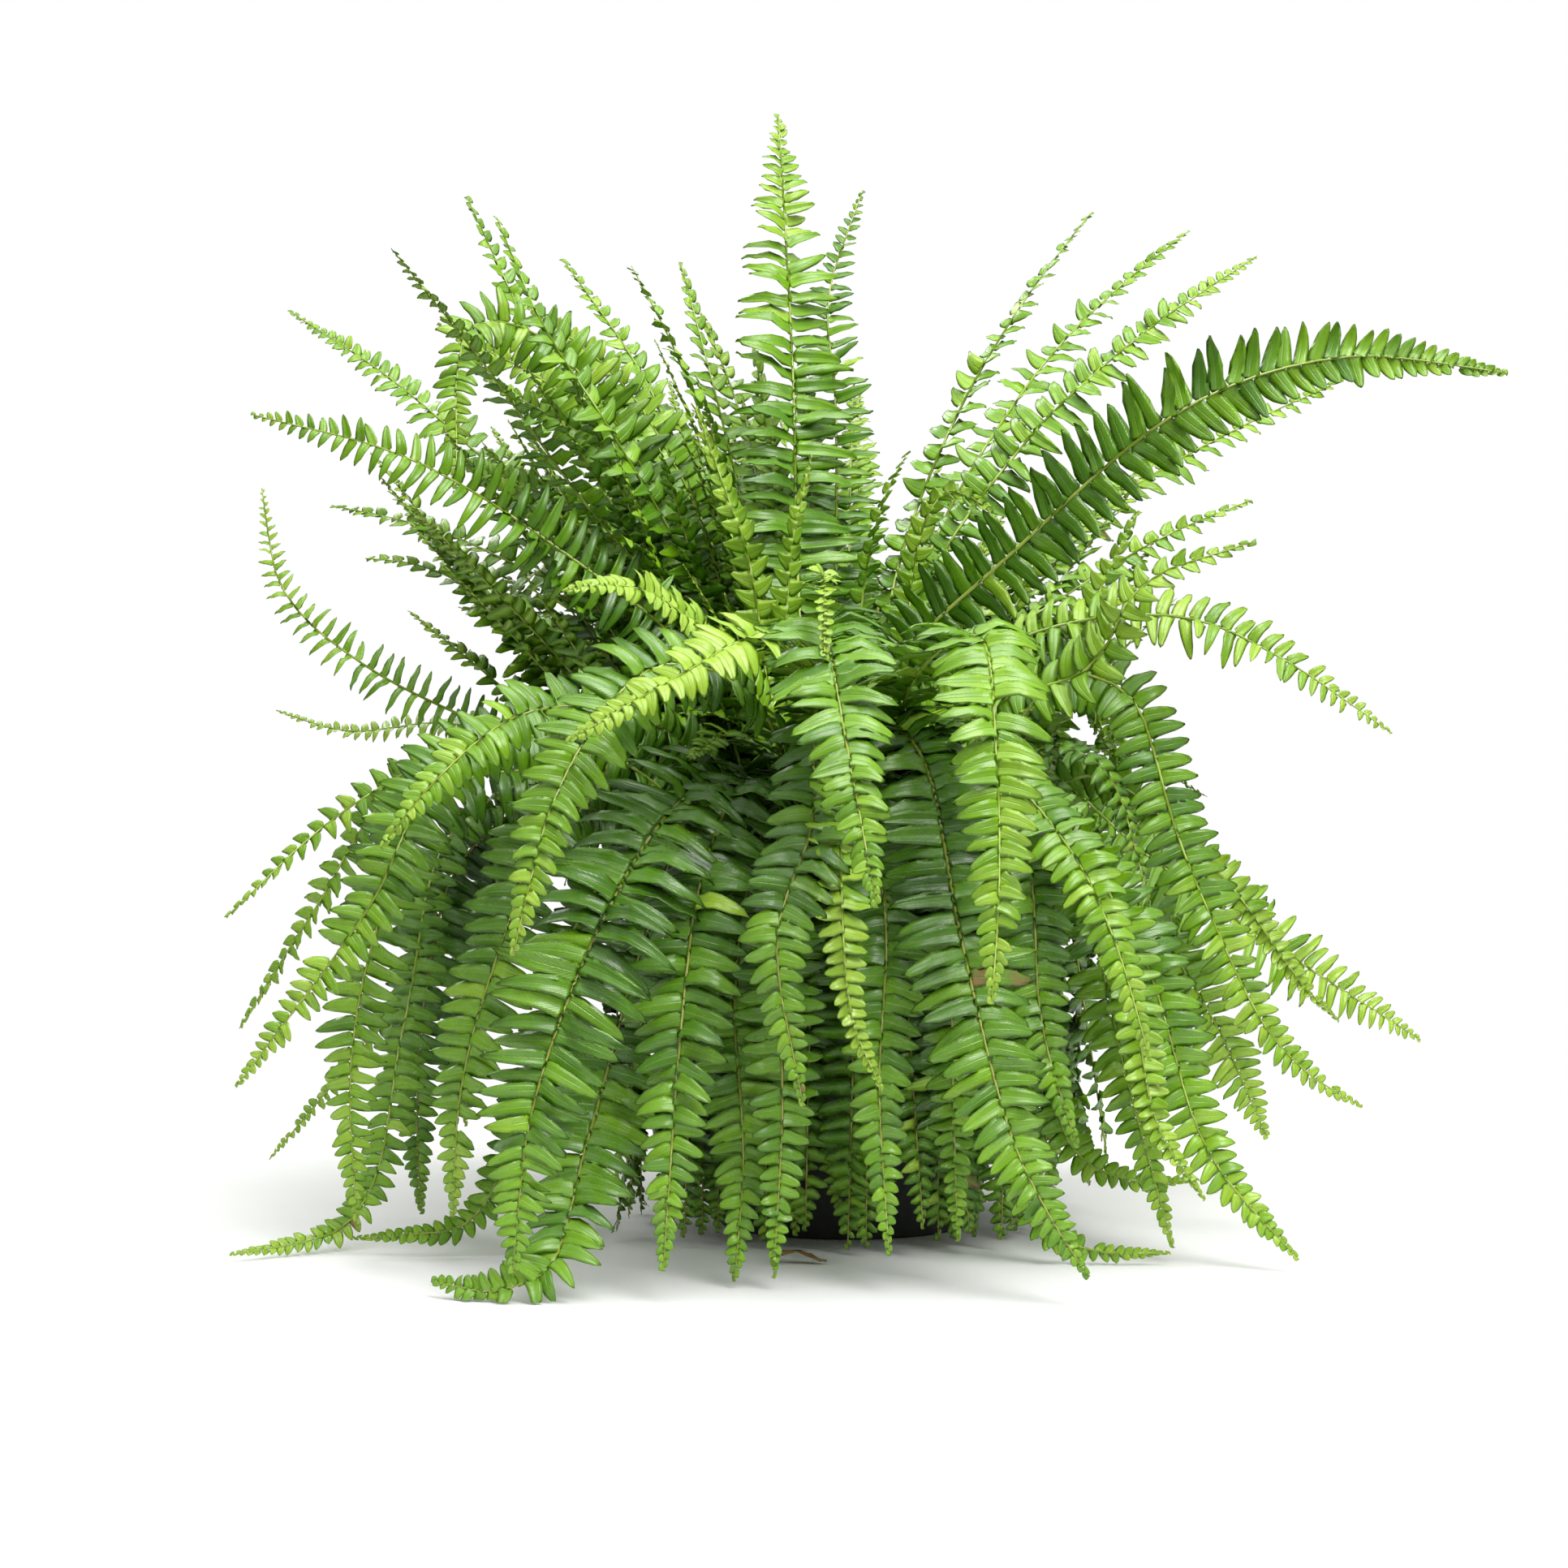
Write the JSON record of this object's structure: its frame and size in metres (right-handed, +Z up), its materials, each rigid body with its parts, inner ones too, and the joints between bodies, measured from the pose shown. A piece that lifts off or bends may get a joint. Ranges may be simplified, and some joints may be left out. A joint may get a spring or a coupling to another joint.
{
  "type": "potted fern",
  "caption": "Full, arching Boston fern growing in a dark plastic hanging-basket pot that stands on its base.",
  "frame": {"origin": "centre of the pot's underside, on the surface that the pot stands on", "axes": "+Z up; -Y is the display side that the camera sees; +X to the viewer's right"},
  "size_m": [0.835, 0.8, 0.77],
  "materials": {
    "pot_plastic": "satin",
    "potting_mix": "matte",
    "rhizome": "matte",
    "frond": "satin"
  },
  "bodies": {
    "root": {"pot": "pot_plastic", "potting_mix": "potting_mix", "rhizome_crown": "rhizome", "frond_upright_1": "frond", "frond_upright_2": "frond", "frond_upright_3": "frond", "frond_upright_4": "frond", "frond_upright_5": "frond", "frond_upright_6": "frond", "frond_upright_7": "frond", "frond_upper_left_1": "frond", "frond_upper_left_2": "frond", "frond_upper_left_3": "frond", "frond_upper_left_4": "frond", "frond_upper_left_5": "frond", "frond_upper_left_6": "frond", "frond_upper_left_7": "frond", "frond_upper_left_8": "frond", "frond_upper_right_1": "frond", "frond_upper_right_2": "frond", "frond_upper_right_3": "frond", "frond_upper_right_4": "frond", "frond_upper_right_5": "frond", "frond_upper_right_6": "frond", "frond_upper_right_7": "frond", "frond_left_1": "frond", "frond_left_2": "frond", "frond_left_3": "frond", "frond_left_4": "frond", "frond_left_5": "frond", "frond_left_6": "frond", "frond_left_7": "frond", "frond_left_8": "frond", "frond_front_left_1": "frond", "frond_front_left_2": "frond", "frond_front_left_3": "frond", "frond_front_left_4": "frond", "frond_front_left_5": "frond", "frond_front_1": "frond", "frond_front_2": "frond", "frond_front_3": "frond", "frond_front_4": "frond", "frond_front_5": "frond", "frond_front_6": "frond", "frond_front_7": "frond", "frond_front_8": "frond", "frond_front_9": "frond", "frond_front_10": "frond", "frond_front_right_1": "frond", "frond_front_right_2": "frond", "frond_front_right_3": "frond", "frond_right_1": "frond", "frond_right_2": "frond", "frond_right_3": "frond", "frond_back_1": "frond", "frond_back_2": "frond", "frond_back_3": "frond", "frond_back_4": "frond", "frond_back_5": "frond", "frond_back_6": "frond"}
  },
  "joints": []
}
